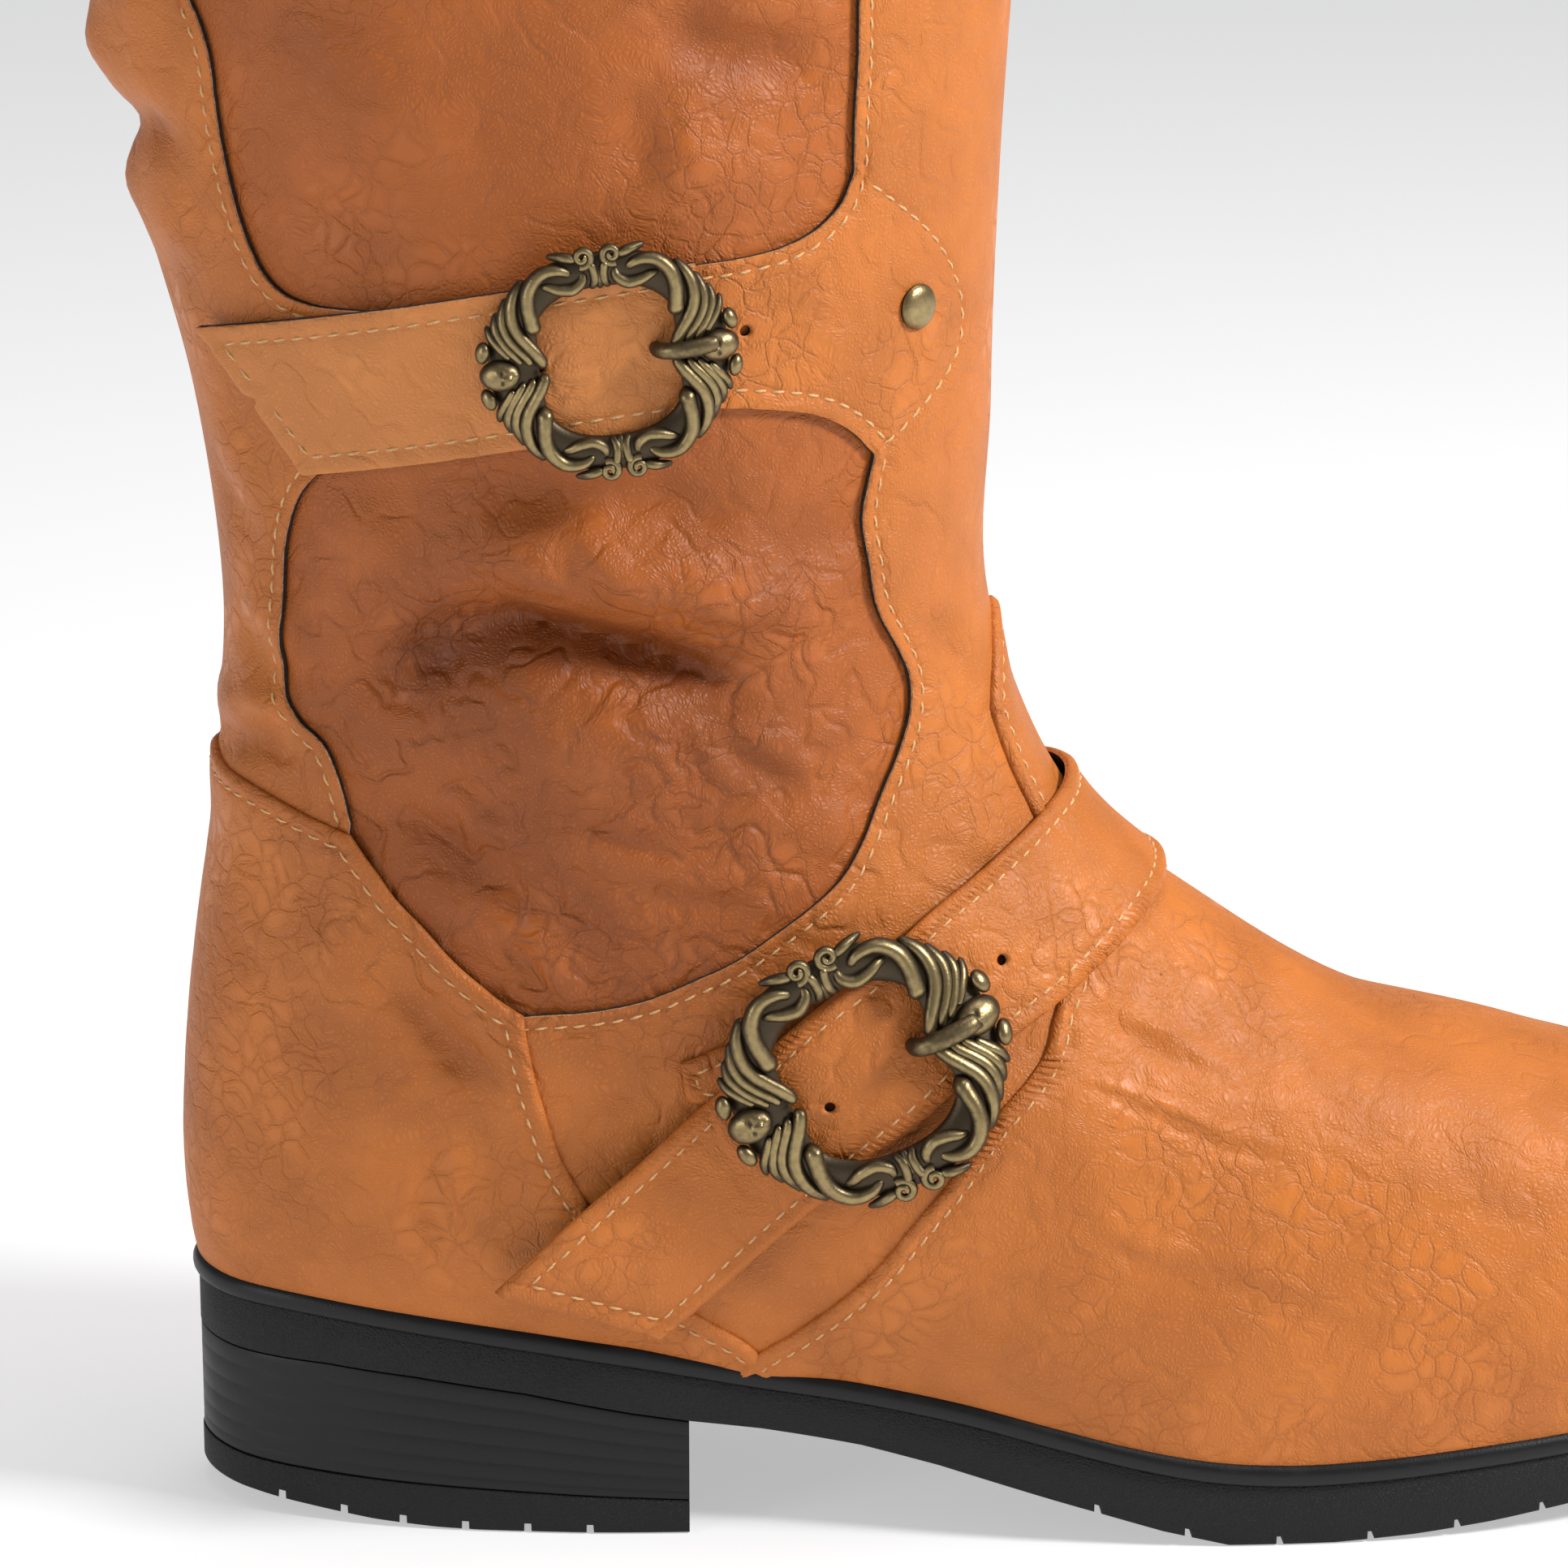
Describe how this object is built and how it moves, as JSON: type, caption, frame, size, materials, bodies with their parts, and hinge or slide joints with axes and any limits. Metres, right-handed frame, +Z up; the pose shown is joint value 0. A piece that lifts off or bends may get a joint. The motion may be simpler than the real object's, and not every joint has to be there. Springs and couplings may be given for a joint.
{
  "type": "pirate boot",
  "caption": "Mid-calf right boot in tan leather with framed shaft panels, a strap and ornate ring buckle on the shaft, another over the instep, and a low heel.",
  "frame": {"origin": "centre of the flat part of the heel's floor face", "axes": "+X towards the toe, +Y towards the inner side, +Z up"},
  "size_m": [0.3204, 0.1239, 0.366],
  "materials": {
    "tan_leather": "pebbled, satin",
    "light_tan_leather": "pebbled, satin",
    "insole_board": "matt",
    "black_rubber": "matt, textured edge",
    "antique_brass": "antiqued, worn bright on the ridges"
  },
  "bodies": {
    "root": {"upper": "tan_leather", "vamp": "tan_leather", "counter": "tan_leather", "shaft_frame": "tan_leather", "shaft_strap": "light_tan_leather", "instep_strap": "tan_leather", "buckle_tab": "tan_leather", "insole": "insole_board", "outsole": "black_rubber", "sole_rim": "black_rubber", "heel": "black_rubber", "heel_top_piece": "black_rubber", "shaft_buckle": "antique_brass", "instep_buckle": "antique_brass", "shaft_prong": "antique_brass", "instep_prong": "antique_brass", "strap_rivet": "antique_brass"}
  },
  "joints": []
}
